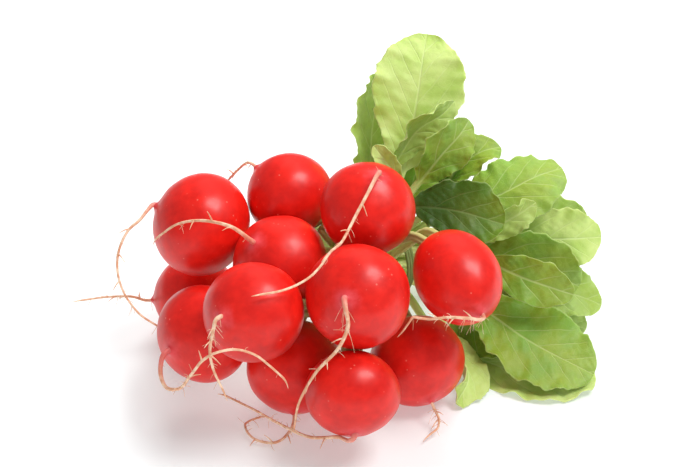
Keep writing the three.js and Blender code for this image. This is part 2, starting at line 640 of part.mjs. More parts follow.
const laid = new THREE.Group(); // the picture plane, laid down on the table
laid.rotation.x = Math.PI / 2 - down;
bulbs.forEach((bulb) => laid.add(piece(`radish_${bulb.name}`, radish(bulb), skin)));
bulbs.forEach((bulb) => laid.add(piece(`leaves_${bulb.name}`, leafCluster(bulb, sheets), foliage)));
laid.add(piece('stalk_band', bandGeometry(sheets), rubber));

const bunch = new THREE.Group();
bunch.add(laid);
bunch.updateMatrixWorld(true);
const box = new THREE.Box3().setFromObject(bunch, true);
laid.position.set(-(box.min.x + box.max.x) / 2, -(box.min.y + box.max.y) / 2, -box.min.z);

export default bunch;
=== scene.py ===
import math
import bmesh
import bpy
import numpy as np
from mathutils import Matrix, Vector, noise


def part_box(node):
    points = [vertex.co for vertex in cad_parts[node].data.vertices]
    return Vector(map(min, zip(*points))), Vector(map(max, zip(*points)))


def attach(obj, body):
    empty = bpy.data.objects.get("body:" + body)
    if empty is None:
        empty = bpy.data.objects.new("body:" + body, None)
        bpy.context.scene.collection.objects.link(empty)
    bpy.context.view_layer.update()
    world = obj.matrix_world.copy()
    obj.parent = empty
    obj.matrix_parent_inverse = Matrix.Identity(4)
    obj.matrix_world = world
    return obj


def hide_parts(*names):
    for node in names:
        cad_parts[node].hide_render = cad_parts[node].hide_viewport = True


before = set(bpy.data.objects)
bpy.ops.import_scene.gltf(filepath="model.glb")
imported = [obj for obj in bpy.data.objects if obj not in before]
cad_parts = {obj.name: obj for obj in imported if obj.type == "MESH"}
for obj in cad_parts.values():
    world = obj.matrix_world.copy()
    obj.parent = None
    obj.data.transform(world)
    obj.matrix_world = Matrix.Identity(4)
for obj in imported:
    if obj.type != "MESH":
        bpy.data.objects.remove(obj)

# A tied bunch of radishes lying on its side. Plants are placed in millimetres in the plane that the
# camera looks at: x right, y up the picture, z towards the camera. toWorld lays that plane down.
lay = {"lookDown": 30, "table": -54.5, "flatSpot": 0.9, "tableGap": 0.4, "skinGap": 0.6,
       "leastHeight": 1, "rounds": 400}
down = math.radians(lay["lookDown"])
up = np.array([0, math.cos(down), math.sin(down)])
toViewer = np.array([0.0, 0, 1])
neckAt = np.array([9.5, -7, -36])
neckAlong = np.array([0.73, 0.3, -0.61]) / np.linalg.norm([0.73, 0.3, -0.61])


def saveSize():
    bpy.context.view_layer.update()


saveSize()
turnDown = np.array([
    [1, 0, 0],
    [0, math.sin(down), -math.cos(down)],
    [0, math.cos(down), math.sin(down)],
])
bandLow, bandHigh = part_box("stalk_band")
shift = np.array((bandLow + bandHigh) / 2) - turnDown @ neckAt / 1000


def toWorld(points):
    return np.asarray(points) @ turnDown.T / 1000 + shift


def unit(v):
    return v / np.maximum(np.linalg.norm(v, axis=-1, keepdims=True), 1e-12)


def ramp(v, low, high):
    t = np.clip((np.asarray(v, float) - low) / (high - low), 0, 1)
    return t * t * (3 - 2 * t)


def turned(v, axis, angle):
    angle = np.asarray(angle, float)[..., None]
    along = np.sum(v * axis, axis=-1, keepdims=True)
    return v * np.cos(angle) + np.cross(axis, v) * np.sin(angle) + axis * along * (1 - np.cos(angle))


# a smooth path through given points, and even steps along a part of it
def curvePoint(points, t):
    last = len(points) - 1
    first = min(int(t * last), last - 1)
    w = t * last - first
    b, c = points[first], points[first + 1]
    a = points[first - 1] if first else 2 * b - c
    d = points[first + 2] if first + 2 <= last else 2 * c - b
    gaps = [float(np.sum((q - p) ** 2)) ** 0.25 for p, q in ((a, b), (b, c), (c, d))]
    gaps[1] = gaps[1] if gaps[1] > 1e-4 else 1.0
    gaps[0] = gaps[0] if gaps[0] > 1e-4 else gaps[1]
    gaps[2] = gaps[2] if gaps[2] > 1e-4 else gaps[1]
    ta = ((b - a) / gaps[0] - (c - a) / (gaps[0] + gaps[1]) + (c - b) / gaps[1]) * gaps[1]
    tb = ((c - b) / gaps[1] - (d - b) / (gaps[1] + gaps[2]) + (d - c) / gaps[2]) * gaps[1]
    return b + ta * w + (3 * (c - b) - 2 * ta - tb) * w * w + (2 * (b - c) + ta + tb) * w ** 3


def stations(path, steps, low=0.0, high=1.0, fine=240):
    path = [np.asarray(p, float) for p in path]
    points = np.array([curvePoint(path, i / fine) for i in range(fine + 1)])
    lengths = np.concatenate([[0], np.cumsum(np.linalg.norm(np.diff(points, axis=0), axis=1))])
    start, end = lengths[round(low * fine)], lengths[round(high * fine)]
    wanted = start + (end - start) * np.arange(steps + 1) / steps
    return np.stack([np.interp(wanted, lengths, points[:, k]) for k in range(3)], 1)


def tangents(points):
    return unit(np.concatenate([points[1:2], points[2:], points[-1:]]) -
                np.concatenate([points[:1], points[:-2], points[-2:-1]]))


# values at whole rows read at rows between them, along axis 0
def between(values, at):
    last = len(values) - 1
    i = np.clip(np.floor(at).astype(int), 0, last - 1)
    w = (at - i).reshape(-1, *[1] * (values.ndim - 1))
    p = [values[np.clip(i + k, 0, last)] for k in (-1, 0, 1, 2)]
    return p[1] + 0.5 * w * (p[2] - p[0] + w * (2 * p[0] - 5 * p[1] + 4 * p[2] - p[3]
                                                + w * (3 * (p[1] - p[2]) + p[3] - p[0])))


plants = {
    "01": dict(at=[-48, 3, -19], girth=34, length=31, tip=[-0.92, 0.37, 0.1], thick=0.55, root=[
        [-66, 6.5, -15], [-72, 0.5, -13], [-75, -8, -12], [-73.5, -17.5, -11], [-68, -26, -13],
        [-61, -31, -17]]),
    "02": dict(at=[-20.5, 12.5, -26], girth=28.5, length=28, tip=[-0.75, 0.62, 0], thick=0.5, root=[
        [-34, 23.5, -27], [-39, 20, -34], [-44, 15, -42]]),
    "03": dict(at=[5.7, 8, -3], girth=30.5, length=29, tip=[0.2, 0.66, 0.72], thick=0.62, root=[
        [5, 11.5, 16], [1, 4, 19], [-2.7, -3, 24], [-6.9, -8, 28], [-12.7, -13.5, 32], [-19, -16.5, 35],
        [-25, -17.7, 37]]),
    "04": dict(at=[-23, -9.5, -5], girth=31, length=29, tip=[-0.52, 0.44, 0.75], thick=0.7, root=[
        [-36.5, 2, 11], [-46, 4, 7], [-54, 3, 2], [-61, -1, -5]]),
    "05": dict(at=[-28, -23.2, 20], girth=30.5, length=31, tip=[-0.55, -0.06, 0.83], thick=0.7, root=[
        [-40.4, -29.5, 35], [-41.3, -34.4, 34], [-40.4, -40.3, 32], [-38, -46, 30]]),
    "06": dict(at=[1.4, -20, 20], girth=32, length=31, tip=[-0.24, -0.03, 0.97], thick=0.7, root=[
        [-0.5, -26, 38], [-3, -33, 37], [-10, -41, 33], [-15, -50, 28], [-17, -59, 17]]),
    "07": dict(at=[33.4, -13.8, 8], girth=26.5, length=34, tip=[0.36, -0.62, 0.7], thick=0.62, root=[
        [35.5, -25.5, 24], [29.9, -25.2, 24], [24.2, -25.8, 23], [17.8, -25.6, 20], [15.6, -28, 18]]),
    "08": dict(at=[21.5, -41.5, -9.5], girth=31, length=28.5, tip=[0.3, -0.84, 0.48], thick=0.6,
               rests=True, root=[[28, -58.5, 0.5], [27.5, -61, 2.5], [25.5, -62.5, 4]]),
    "09": dict(at=[0.8, -48, 20], girth=29, length=25.5, tip=[0.02, -0.88, 0.47], thick=0.65, root=[
        [-3, -61.5, 22], [-12, -62, 18], [-21, -59, 12], [-30, -55, 5], [-39, -51.5, -2]]),
    "10": dict(at=[-18, -42.8, -6], girth=31, length=30, tip=[0, -0.9, 0.42], thick=0.55, rests=True,
               root=[[-19, -62, 4], [-23, -65, 7], [-30, -64, 5.5], [-33, -60, -1], [-29, -58.5, -4]]),
    "11": dict(at=[-46.4, -32.2, -5], girth=31.5, length=28, tip=[-0.67, -0.33, 0.66], thick=0.66, root=[
        [-59, -42, 7], [-57.5, -47, 10], [-52.5, -47.5, 16], [-46.5, -41, 30], [-40.5, -35.3, 38.5],
        [-31, -34, 39], [-23.5, -39, 35], [-20, -42.5, 32]]),
    "12": dict(at=[-53, -20.5, -44.5], girth=28.5, length=28.5, tip=[-0.99, -0.08, 0.05], thick=0.55,
               rests=True, root=[[-74, -21.5, -41], [-82, -21.5, -40], [-90, -22.5, -39]]),
}
for key, plant in plants.items():
    plant.update(name=key, at=np.array(plant["at"], float), axis=unit(np.array(plant["tip"], float)))
bulbs = list(plants.values())


# distance from a radish's middle to its skin
def reach(bulb, direction):
    along = (direction @ bulb["axis"]) ** 2
    return 1 / np.sqrt(along / (bulb["length"] / 2) ** 2 + (1 - along) / (bulb["girth"] / 2) ** 2)


def easeApart():
    for _ in range(lay["rounds"]):
        moves = [np.zeros(3) for _ in bulbs]
        for i, a in enumerate(bulbs):
            for j in range(i + 1, len(bulbs)):
                b = bulbs[j]
                way = b["at"] - a["at"]
                apart = math.sqrt(way @ way)
                way = way / apart
                short = reach(a, way) + reach(b, way) + lay["skinGap"] - apart
                if short > 0:
                    moves[i] -= way * short / 3
                    moves[j] += way * short / 3
            height = a["at"] @ up - reach(a, up) - lay["table"]
            if a.get("rests") or height < lay["leastHeight"]:
                wanted = -lay["flatSpot"] if a.get("rests") else lay["leastHeight"]
                moves[i] += up * (wanted - height) / 2
        for bulb, move in zip(bulbs, moves):
            bulb["at"] = bulb["at"] + move


# pushes points out of the radishes and off the table
def clearOfBulbs(points, size, gap, own=None):
    points = np.array(points, float)
    size = np.broadcast_to(size, len(points))
    for number, bulb in enumerate(bulbs):
        out = points - bulb["at"]
        apart = np.linalg.norm(out, axis=1)
        out = out / apart[:, None]
        wanted = reach(bulb, out) + size + gap
        hit = apart < wanted
        if own is not None:
            hit &= own != number
        points[hit] = bulb["at"] + out[hit] * wanted[hit, None]
    low = np.maximum(lay["table"] + size + lay["tableGap"] - points @ up, 0)
    return points + low[:, None] * up


easeApart()
print("radishes placed")

# each leaf: its plant, foot, middle and tip of its blade, width, roll, cup, curl and whether its edge is
# whole, with the furthest leaf first
leaves = [
    ["12", [12, -13, -66], [0, -13, -80], [-16, -10, -93], 24, -15, 0.2, 0],
    ["11", [20, -15, -66], [18, -10, -84], [13, -3, -102], 26, 8, 0.2, 0],
    ["12", [28, -15, -66], [35, -12, -82], [40, -8, -98], 26, -10, 0.15, 0],
    ["11", [36, -18, -60], [50, -20, -70], [64, -18, -82], 26, -15, 0.2, 0],
    ["02", [16, 10, -56], [26, 20, -58], [38, 30, -62], 24, -10, 0.2, 0],
    ["02", [8, 10, -58], [7.5, 33, -58], [11, 56, -58], 18, 35, 0.25, 2],
    ["04", [42, -2, -54], [64, 3, -58], [84, 5, -60], 19, 10, 0.2, 3],
    ["10", [40, -20, -48], [62, -28, -44], [81, -34.5, -44], 18, 10, 0.25, 4],
    ["08", [26, 4, -48], [42, 1, -49], [60, -8, -51], 26, 5, 0.2, 0],
    ["10", [44, -12, -44], [66, -18, -41], [86, -23, -40], 19, -20, 0.25, 5],
    ["03", [18, 20, -48], [22.5, 43, -47], [26.5, 70, -50], 31, -4, 0.12, 6],
    ["08", [30, -34, -36], [55, -46.3, -21.5], [80.5, -48, -16.5], 27, -52, 0.1, 0],
    ["07", [47, -3, -43], [66, -2, -40], [86, -1.5, -42], 21, 8, 0.2, 3],
    ["06", [27, 5, -42], [49, 12.5, -40], [72, 24.5, -43], 27, -33, -0.15, 5],
    ["09", [40, -8, -37], [58, -9, -34], [77, -18, -34], 22, 12, 0.2, 2],
    ["04", [17, 21, -42], [23.5, 35, -39], [36.5, 42, -38], 13, 40, 0.5, 6],
    ["05", [29, 15, -39], [39, 24.5, -36], [50, 31, -36], 16, -38, 0.35, 4],
    ["03", [23, 15, -37], [31.5, 27, -33], [41, 37, -32], 15, 18, 0.4, 6],
    ["01", [34, -20, -42], [42, -31, -38], [51, -40, -32], 20, -20, 0.2, 0],
    ["09", [39, -21, -32], [58.5, -35, -24], [79.5, -46, -20], 28, -26, 0.12, 0],
    ["05", [40, -2, -32], [52, 4, -30], [62, 10, -29], 10, 25, 0.4, 1],
    # this leaf fills the dark gap beside the stalks, and its deep green is painted shade
    ["01", [20, 7, -32], [34, 7.5, -31], [51, 3, -33], 22, -22, 0.15, 0],
    ["06", [31, -32, -40], [36, -46, -25], [31, -55.5, -12], 16, -30, 0.2, 0],
    ["02", [15, 18, -41], [12, 24, -37], [8, 29.5, -35], 7, 0, 0.5, 0],
    ["07", [43, -9, -27], [58, -15, -21], [73, -20, -19], 15, 5, 0.25, 0, True],
]
leafKeys = ("plant", "foot", "middle", "tip", "width", "roll", "cup", "curl", "whole")
leaves = [dict(zip(leafKeys, row)) for row in leaves]
stalks = {"foot": 1.75, "top": 1.25, "gap": 0.7, "pitch": 3.7, "spread": 1.9, "steps": 7,
          "firstTurn": 0.6, "straight": 5}
blades = {"thick": 0.7, "gap": 1.0, "wave": 0.07, "waves": 15, "waveShift": 2.1, "toothed": 0.02,
          "steps": 11, "places": 5}
ease = {"rounds": 150, "near": 4.3, "beside": 3, "besideStalk": 0.6, "stalkToSkin": 0.5,
        "bladeToSkin": 0.8, "mostAside": 1.5, "mostAhead": 2, "evenOut": 0.3, "evenLast": 0.02,
        "lastRounds": 0.2}
stalkSteps, bladeSteps, places = stalks["steps"], blades["steps"], blades["places"]
rows = stalkSteps + bladeSteps + 1
neckRight = unit(np.cross(neckAlong, [0, 1, 0]))
neckUp = np.cross(neckRight, neckAlong)


def stalkSize(row):
    share = np.minimum(1, np.asarray(row) / stalkSteps)
    return stalks["foot"] + (stalks["top"] - stalks["foot"]) * share


def crownOf(bulb):
    return bulb["at"] - bulb["axis"] * bulb["length"] / 2


# each stalk's place where it is tied
def honeycomb():
    pitch = stalks["pitch"]
    cells = [((i + j / 2) * pitch, j * pitch * math.sqrt(0.75))
             for i in range(-4, 5) for j in range(-4, 5)]
    cells.sort(key=lambda c: (round(math.hypot(*c) * 1000), c[0], c[1]))
    chosen = cells[:len(leaves)]
    wanted = []
    for leaf in leaves:
        fromFoot = (np.array(leaf["foot"]) - neckAt) * 0.25
        pull = fromFoot + (crownOf(plants[leaf["plant"]]) - neckAt) * 0.12
        wanted.append((pull @ neckRight, pull @ neckUp))

    def cost(a, b):
        return (a[0] - b[0]) ** 2 + (a[1] - b[1]) ** 2

    for _ in range(40):
        for i in range(len(chosen)):
            for j in range(i + 1, len(chosen)):
                now = cost(chosen[i], wanted[i]) + cost(chosen[j], wanted[j])
                if cost(chosen[j], wanted[i]) + cost(chosen[i], wanted[j]) < now - 1e-9:
                    chosen[i], chosen[j] = chosen[j], chosen[i]
    return chosen


def outline(share):
    share = np.clip(share, 0, 1)
    return np.sin(np.pi * share ** 1.05) ** 0.55 * (0.69 + 0.56 * share)


def halfWidth(leaf, row):
    share = np.maximum(0, (row - stalkSteps) / bladeSteps)
    opened = ramp(row, stalkSteps - 1.5, stalkSteps + 1.5)
    tooth = 1 - (0 if leaf.get("whole") else blades["toothed"]) * np.cos(np.pi * row)
    wide = np.maximum(leaf["width"] / 2 * outline(share) * tooth, stalks["top"] * (1 - share))
    return wide * opened + stalkSize(row) * (1 - opened)


def leafSheet(leaf, order, slot):
    bulb = plants[leaf["plant"]]
    mates = [k for k in leaves if k["plant"] == leaf["plant"]]
    turn = mates.index(leaf) / len(mates) * 2 * math.pi + stalks["firstTurn"]
    side = turned(unit(np.cross(bulb["axis"], up)), bulb["axis"], turn)
    away = -bulb["axis"]
    crown = crownOf(bulb) + away + side * stalks["spread"]
    tied = neckAt + neckRight * slot[0] + neckUp * slot[1]
    straight = stalks["straight"]
    path = [crown, crown + away * straight, tied - neckAlong * straight, tied + neckAlong * straight,
            leaf["foot"], leaf["middle"], leaf["tip"]]
    stalk = stations(path, stalkSteps, 0, 4 / 6)
    rib = np.concatenate([stalk, stations(path, bladeSteps, 4 / 6, 1)[1:]])
    ways = tangents(rib)
    row = np.arange(rows)
    share = np.maximum(0, (row - stalkSteps) / bladeSteps)
    opened = ramp(row, stalkSteps - 1.5, stalkSteps + 1.5)
    face = unit(toViewer - ways * ways[:, 2:])
    normal = turned(face, ways, math.radians(leaf["roll"]) * opened)
    across = np.cross(ways, normal)
    half = halfWidth(leaf, row)[:, None]
    bent = (leaf["curl"] * ramp(share, 0.6, 1.1) ** 2)[:, None]
    opened = opened[:, None]
    stalkAcross = np.array([-0.95, -0.59, 0, 0.59, 0.95])
    bladeAcross = np.array([-1, -0.52, 0, 0.52, 1])
    u = stalkAcross * (1 - opened) + bladeAcross * opened
    beat = np.sin(share * blades["waves"] + order * blades["waveShift"])[:, None]
    wave = blades["wave"] * half * beat * u * np.abs(u)
    rise = leaf["cup"] * half * u * u * opened + wave - bent
    return rib[:, None] + across[:, None] * (u * half)[..., None] + normal[:, None] * rise[..., None]


# the value before and after each place along an axis, where the ends stand for what is beyond them
def neighbours(values, axis):
    last = values.shape[axis] - 1
    before = np.take(values, np.maximum(np.arange(last + 1) - 1, 0), axis)
    after = np.take(values, np.minimum(np.arange(last + 1) + 1, last), axis)
    return before, after


# the same easing that set the leaves apart in the solid model, all leaves at once
def easeLeaves(grid):
    weights, isStalk, checkRow = [], [], []
    for row in range(stalkSteps):
        for part in range(5):
            weights.append({(row, 2): 1 - part / 5, (row + 1, 2): part / 5})
            isStalk.append(True)
            checkRow.append(row)
    for a in range(2 * bladeSteps + 1):
        for b in range(2 * places - 1):
            row, i = stalkSteps + a // 2, b // 2
            weights.append({(row + m, i + n): 1 / ((1 + a % 2) * (1 + b % 2))
                            for m in range(a % 2 + 1) for n in range(b % 2 + 1)})
            isStalk.append(False)
            checkRow.append(row)
    count, total = len(leaves), len(weights)
    spread = np.zeros((total, rows * places))
    for k, shares in enumerate(weights):
        for (row, i), w in shares.items():
            spread[k, row * places + i] = w
    isStalk, checkRow = np.array(isStalk), np.array(checkRow)
    size = np.tile(np.where(isStalk, stalkSize(checkRow), blades["thick"] / 2 + 0.1), count)
    plantOf = np.array([list(plants).index(leaf["plant"]) for leaf in leaves])
    leafIndex = np.repeat(np.arange(count), total)
    stalk = np.tile(isStalk, count)
    first = np.tile(checkRow, count) < 1
    own = np.where(first, plantOf[leafIndex], -1)
    bulbGap = np.where(stalk, ease["stalkToSkin"], ease["bladeToSkin"])
    moved = np.zeros_like(grid)
    near = ease["near"]
    for step in range(ease["rounds"]):
        now = grid + moved
        lower, higher = neighbours(now[:, :, 2], 1)
        left, right = neighbours(now, 2)
        normal = np.cross(right - left, (higher - lower)[:, :, None])
        steep = np.maximum(np.abs(normal[..., 2]), 0.5 * np.linalg.norm(normal, axis=-1))
        steep = steep * np.where(normal[..., 2] < 0, -1, 1)
        slopes = -normal[..., :2] / steep[..., None]
        at = (spread @ now.reshape(count, -1, 3)).reshape(-1, 3)
        slope = (spread @ slopes.reshape(count, -1, 2)).reshape(-1, 2) * ~stalk[:, None]
        cell = np.floor(at[:, :2] / near + 500).astype(int)
        key = cell[:, 0] * 1000 + cell[:, 1]
        order = np.argsort(key, kind="stable")
        ordered = key[order]
        firsts, seconds = [], []
        for jump in [1000 * m + n for m in (-1, 0, 1) for n in (-1, 0, 1)]:
            low = np.searchsorted(ordered, key + jump, "left")
            many = np.searchsorted(ordered, key + jump, "right") - low
            p = np.repeat(np.arange(len(key)), many)
            within = np.arange(len(p)) - np.repeat(np.cumsum(many) - many, many)
            q = order[np.repeat(low, many) + within]
            keep = leafIndex[q] > leafIndex[p]
            firsts.append(p[keep])
            seconds.append(q[keep])
        p, q = np.concatenate(firsts), np.concatenate(seconds)
        keep = (plantOf[leafIndex[p]] != plantOf[leafIndex[q]]) | ~(first[p] | first[q])
        p, q = p[keep], q[keep]
        gap = at[q] - at[p]
        both = stalk[p] & stalk[q]
        apart = np.linalg.norm(gap, axis=1)
        short = size[p] + size[q] + stalks["gap"] - apart
        hit = both & (short > 0)
        push = np.zeros_like(at)
        move = gap[hit] * (short[hit] / apart[hit] / 2)[:, None]
        np.add.at(push, p[hit], -move)
        np.add.at(push, q[hit], move)
        sideways = np.where(stalk[p] | stalk[q], size[p] + size[q] + ease["besideStalk"], ease["beside"])
        mean = (slope[p] + slope[q]) / 2
        room = (size[p] + size[q] + blades["gap"]) * np.sqrt(1 + np.sum(mean ** 2, axis=1))
        short = room - (gap[:, 2] - np.sum(mean * gap[:, :2], axis=1))
        hit = ~both & (np.hypot(gap[:, 0], gap[:, 1]) <= sideways) & (short > 0)
        ahead, behind = np.zeros(len(at)), np.zeros(len(at))
        np.maximum.at(behind, p[hit], short[hit] / 2)
        np.maximum.at(ahead, q[hit], short[hit] / 2)
        long = np.linalg.norm(push, axis=1)
        most = ease["mostAside"]
        push *= np.where(long > most, most / np.maximum(long, 1e-9), 1)[:, None]
        push[:, 2] += np.clip(ahead - behind, -ease["mostAhead"], ease["mostAhead"])
        change = clearOfBulbs(at + push, size, bulbGap, own) - at
        active = (np.sum(change ** 2, axis=1) >= 1e-12).astype(float)
        change = (change * active[:, None]).reshape(count, total, 3)
        sums = (spread.T @ change).reshape(count, rows, places, 3)
        counts = (active.reshape(count, total) @ spread).reshape(count, rows, places) + 0.05
        moves = sums / counts[..., None]
        joined = sums[:, :stalkSteps + 1].sum(2) / counts[:, :stalkSteps + 1].sum(2)[..., None]
        moves[:, :stalkSteps + 1] = joined[:, :, None]
        moves[:, 0] = 0
        moved += moves
        lower, higher = neighbours(moved, 1)
        left, right = neighbours(moved, 2)
        blade = (np.arange(rows) > stalkSteps)[None, :, None, None]
        mean = np.where(blade, (lower + higher + (left + right)) / 4, (lower + higher) / 2)
        isLast = step > ease["rounds"] * (1 - ease["lastRounds"])
        moved += (mean - moved) * (ease["evenLast"] if isLast else ease["evenOut"])
        moved[:, 0] = 0
    return grid + moved


slots = honeycomb()
grids = easeLeaves(np.array([leafSheet(leaf, i, slots[i]) for i, leaf in enumerate(leaves)]))
print("leaves set apart")


# a colour given as on screen, in linear light
def colour(code):
    channels = [int(code[i:i + 2], 16) / 255 for i in (0, 2, 4)]
    return [c / 12.92 if c <= 0.04045 else ((c + 0.055) / 1.055) ** 2.4 for c in channels] + [1]


# materials: a wire is a node's output, and sums on wires add Math nodes
class Wire:
    def __init__(self, board, socket):
        self.board, self.socket = board, socket

    def math(self, operation, *others, swap=False):
        values = [self, *others]
        return self.board.node("Math", {"operation": operation}, *(values[::-1] if swap else values))

    def __add__(self, other):
        return self.math("ADD", other)

    def __radd__(self, other):
        return self.math("ADD", other)

    def __sub__(self, other):
        return self.math("SUBTRACT", other)

    def __rsub__(self, other):
        return self.math("SUBTRACT", other, swap=True)

    def __mul__(self, other):
        return self.math("MULTIPLY", other)

    def __rmul__(self, other):
        return self.math("MULTIPLY", other)

    def __truediv__(self, other):
        return self.math("DIVIDE", other)

    def __rtruediv__(self, other):
        return self.math("DIVIDE", other, swap=True)

    def __abs__(self):
        return self.math("ABSOLUTE")


class Board:
    def __init__(self, name):
        self.material = bpy.data.materials.new(name)
        self.material.use_nodes = True
        self.tree = self.material.node_tree
        self.tree.nodes.clear()

    def node(self, kind, settings=None, *sockets, out=0, at=None, **named):
        made = self.tree.nodes.new("ShaderNode" + kind)
        for key, value in (settings or {}).items():
            setattr(made, key, value)
        for key, value in [*enumerate(sockets), *(at or {}).items(), *named.items()]:
            socket = made.inputs[key if isinstance(key, int) else key.replace("_", " ")]
            if isinstance(value, Wire):
                self.tree.links.new(value.socket, socket)
            else:
                socket.default_value = value
        return Wire(self, made.outputs[out]) if made.outputs else None

    def attribute(self, name):
        return self.node("Attribute", {"attribute_name": name}, out="Fac")

    def noise(self, place, scale, detail=2.0):
        return self.node("TexNoise", None, Vector=place, Scale=scale, Detail=detail)

    def step(self, value, low, high):
        return self.node("MapRange", {"interpolation_type": "SMOOTHSTEP"}, value, low, high, 0.0, 1.0)

    def mix(self, share, first, second):
        return self.node("Mix", {"data_type": "RGBA"}, out=2, at={0: share, 6: first, 7: second})

    def finish(self, base, roughness, bump, **fixed):
        height, distance, strength = bump
        normal = self.node("Bump", None, Strength=strength, Distance=distance, Height=height)
        shader = self.node("BsdfPrincipled", None, Base_Color=base, Roughness=roughness, Normal=normal)
        for key, value in fixed.items():
            shader.socket.node.inputs[key.replace("_", " ")].default_value = value
        self.node("OutputMaterial", None, shader)
        return self.material


skinLook = {"deep": "c8120c", "bright": "ee2418", "rose": "e0606a", "cream": "f2d2b4", "root": "dda582",
            "speck": "f08a78", "crown": "c9c98a", "rough": 0.38, "coat": 0.1, "coatRough": 0.2,
            "specular": 0.38, "mottleScale": 130, "streakScale": 420, "speckScale": 420}


def skinMaterial():
    board = Board("radishSkin")
    place = board.node("TexCoord", out="Object")
    rootward = board.attribute("rootward")
    mottle = board.noise(place, skinLook["mottleScale"], 3.0)
    streak = board.noise(place, skinLook["streakScale"], 4.0)
    shade = board.step(mottle * 0.6 + streak * 0.4, 0.2, 0.8)
    red = board.mix(shade, colour(skinLook["deep"]), colour(skinLook["bright"]))
    dots = board.node("TexVoronoi", {"feature": "F1"}, Vector=place, Scale=skinLook["speckScale"],
                      out="Distance")
    speck = (1 - board.step(dots, 0.06, 0.16)) * board.step(board.noise(place, 160), 0.5, 0.62)
    red = board.mix(speck * 0.55, red, colour(skinLook["speck"]))
    rose = board.step(rootward + (streak - 0.5) * 0.05, 0.965, 1.03)
    tinted = board.mix(rose * 0.75, red, colour(skinLook["rose"]))
    pale = board.step(rootward + (mottle - 0.5) * 0.12, 1.0, 1.24)
    root = board.mix(board.step(streak, 0.4, 0.66), colour(skinLook["root"]), colour(skinLook["cream"]))
    skin = board.mix(pale, tinted, root)
    crown = 1 - board.step(rootward, 0.012, 0.03)
    skin = board.mix(crown * 0.8, skin, colour(skinLook["crown"]))
    rough = skinLook["rough"] + pale * 0.3 + (streak - 0.5) * 0.12
    height = streak * 0.5 + mottle * 0.5 - speck * 0.5
    return board.finish(skin, rough, (height, 0.0003, 0.22), Coat_Weight=skinLook["coat"],
                        Coat_Roughness=skinLook["coatRough"], Specular_IOR_Level=skinLook["specular"],
                        Subsurface_Weight=0.12, Subsurface_Radius=(0.004, 0.0012, 0.0009),
                        Subsurface_Scale=0.5)


# deep is painted shade: the green given to leaves and leaf feet that lie in shade; the other greens are
# the leaves' own colours
leafLook = {"fresh": "c8da84", "clear": "b2cb66", "dark": "6c972c", "olive": "869a2a", "deep": "33530a",
            "vein": "dbe8a4", "under": "c3d68c", "stalk": "d3e08e", "blush": "b4b070", "rough": 0.44,
            "cloudScale": 90, "grainScale": 900, "netScale": 0.55}
veins = {"pitch": 9.5, "lean": 1.5, "bend": 0.012}


def leafMaterial():
    board = Board("radishLeaf")
    place = board.node("TexCoord", out="Object")
    arc, lateral = board.attribute("arc"), board.attribute("lateral")
    blade, share, tone = board.attribute("blade"), board.attribute("share"), board.attribute("tone")
    under, stem, edge = board.attribute("under"), board.attribute("stem"), board.attribute("edge")
    aside = abs(lateral)
    cloud = board.noise(place, leafLook["cloudScale"], 3.0)
    grain = board.noise(place, leafLook["grainScale"], 3.0)
    right = lateral.math("GREATER_THAN", 0.0)
    phase = (arc - aside * veins["lean"] - aside * aside * veins["bend"]) / veins["pitch"] + right * 0.5
    phase = phase + (board.noise(place, 140) - 0.5) * 0.25
    apart = (0.5 - abs(phase.math("FRACT") - 0.5)) * (veins["pitch"] * 0.65)
    main = (1 - board.step(apart, 0.05, 0.36)) * (1 - board.step(edge, 0.45, 0.95) * 0.85)
    rib = 1 - board.step(aside + share * 0.35, 0.3, 0.75)
    flat = board.node("CombineXYZ", None, lateral, arc, 0.0)
    cells = board.node("TexVoronoi", {"feature": "DISTANCE_TO_EDGE"}, Vector=flat,
                       Scale=leafLook["netScale"], out="Distance")
    net = 1 - board.step(cells, 0.01, 0.07)
    vein = rib.math("MAXIMUM", main * 0.8).math("MAXIMUM", net * 0.16)
    fresh = board.mix(board.step(cloud, 0.35, 0.68), colour(leafLook["fresh"]), colour(leafLook["clear"]))
    olive = board.mix(board.step(cloud, 0.3, 0.7), colour(leafLook["dark"]), colour(leafLook["olive"]))
    green = board.mix(board.step(tone, 0.0, 1.0), fresh, olive)
    # painted shade: tones from 1 to 2 darken the leaf towards deep green
    green = board.mix(board.step(tone, 1.0, 2.0), green, colour(leafLook["deep"]))
    green = board.mix(under * 0.5, green, colour(leafLook["under"]))
    green = board.mix(vein * (0.45 - tone * 0.2) * blade, green, colour(leafLook["vein"]))
    green = board.mix(board.step(edge, 0.93, 1.0) * 0.25 * blade, green, colour(leafLook["vein"]))
    petiole = board.mix(board.step(stem, 0.05, 0.5), colour(leafLook["blush"]), colour(leafLook["stalk"]))
    base = board.mix(blade, petiole, green)
    height = (0.5 - vein) * blade + grain * 0.25 + cloud * 0.3
    rough = leafLook["rough"] + grain * 0.12 - under * 0.04
    return board.finish(base, rough, (height, 0.0005, 0.4), Subsurface_Weight=0.15,
                        Subsurface_Radius=(0.0016, 0.0022, 0.0007), Subsurface_Scale=0.6,
                        Specular_IOR_Level=0.35)


bandLook = {"dark": "6f8244", "dusty": "8b9c5c", "dustScale": 600}


def bandMaterial():
    board = Board("rubberBand")
    place = board.node("TexCoord", out="Object")
    dust = board.noise(place, bandLook["dustScale"], 4.0)
    base = board.mix(dust, colour(bandLook["dark"]), colour(bandLook["dusty"]))
    return board.finish(base, 0.5 + dust * 0.2, (dust, 0.0001, 0.3), Subsurface_Weight=0.1,
                        Subsurface_Radius=(0.001, 0.0006, 0.0003), Subsurface_Scale=0.5)


# meshes, with the values that their materials read
def startMesh(*keys):
    bm = bmesh.new()
    for key in keys:
        bm.verts.layers.float.new(key)
    return bm


